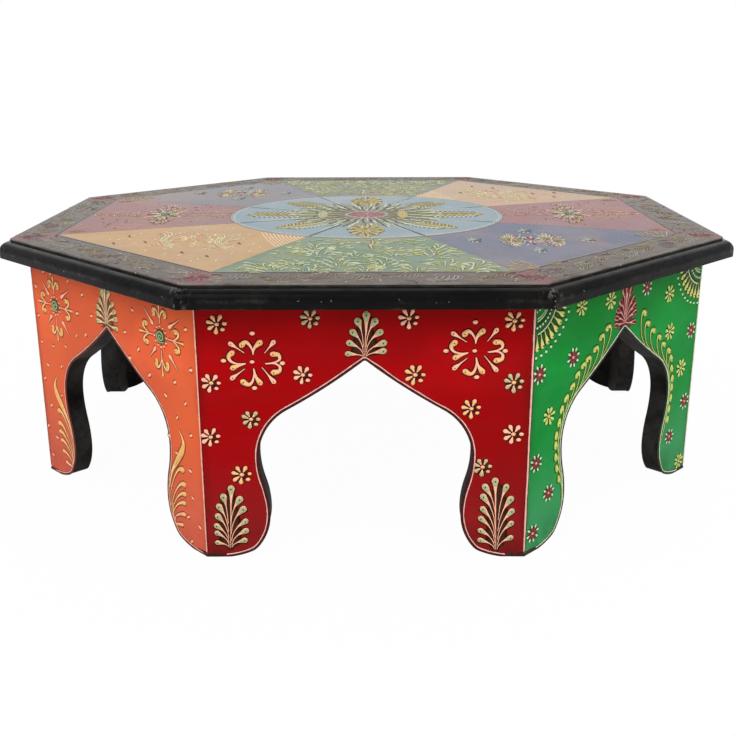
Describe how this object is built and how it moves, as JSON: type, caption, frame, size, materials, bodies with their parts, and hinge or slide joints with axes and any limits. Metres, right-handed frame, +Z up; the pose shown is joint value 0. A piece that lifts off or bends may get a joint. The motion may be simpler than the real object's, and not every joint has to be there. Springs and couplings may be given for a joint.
{
  "type": "low table",
  "caption": "Low octagonal table in painted wood: flat top with mitred black edge mouldings on a ring of ogee-arched side panels with bulging feet.",
  "frame": {"origin": "on the floor, under the middle of the table", "axes": "+Z up out of the top; the red front side faces -Y; each of the sides lies square to a direction that is a multiple of 45 degrees from -Y"},
  "size_m": [0.45, 0.45, 0.155],
  "materials": {
    "painted_top": "painted in pale sectors with raised flower work, satin lacquer",
    "black_lacquer": "black paint, satin, chipped at the edges",
    "red_paint": "red paint with raised flower work, satin lacquer, black inside",
    "green_paint": "green paint with raised flower work, satin lacquer, black inside",
    "blue_paint": "blue paint with raised flower work, satin lacquer, black inside",
    "orange_paint": "orange paint with raised flower work, satin lacquer, black inside",
    "bare_wood": "sawn, glued, unpainted",
    "screw_steel": "dull zinc"
  },
  "bodies": {
    "root": {"top_board": "painted_top", "edge_moulding_1": "black_lacquer", "edge_moulding_2": "black_lacquer", "edge_moulding_3": "black_lacquer", "edge_moulding_4": "black_lacquer", "edge_moulding_5": "black_lacquer", "edge_moulding_6": "black_lacquer", "edge_moulding_7": "black_lacquer", "edge_moulding_8": "black_lacquer", "side_panel_1": "red_paint", "side_panel_2": "green_paint", "side_panel_3": "blue_paint", "side_panel_4": "orange_paint", "side_panel_5": "red_paint", "side_panel_6": "green_paint", "side_panel_7": "blue_paint", "side_panel_8": "orange_paint", "corner_block_1": "bare_wood", "corner_block_2": "bare_wood", "corner_block_3": "bare_wood", "corner_block_4": "bare_wood", "corner_block_5": "bare_wood", "corner_block_6": "bare_wood", "corner_block_7": "bare_wood", "corner_block_8": "bare_wood", "block_screws": "screw_steel"}
  },
  "joints": []
}
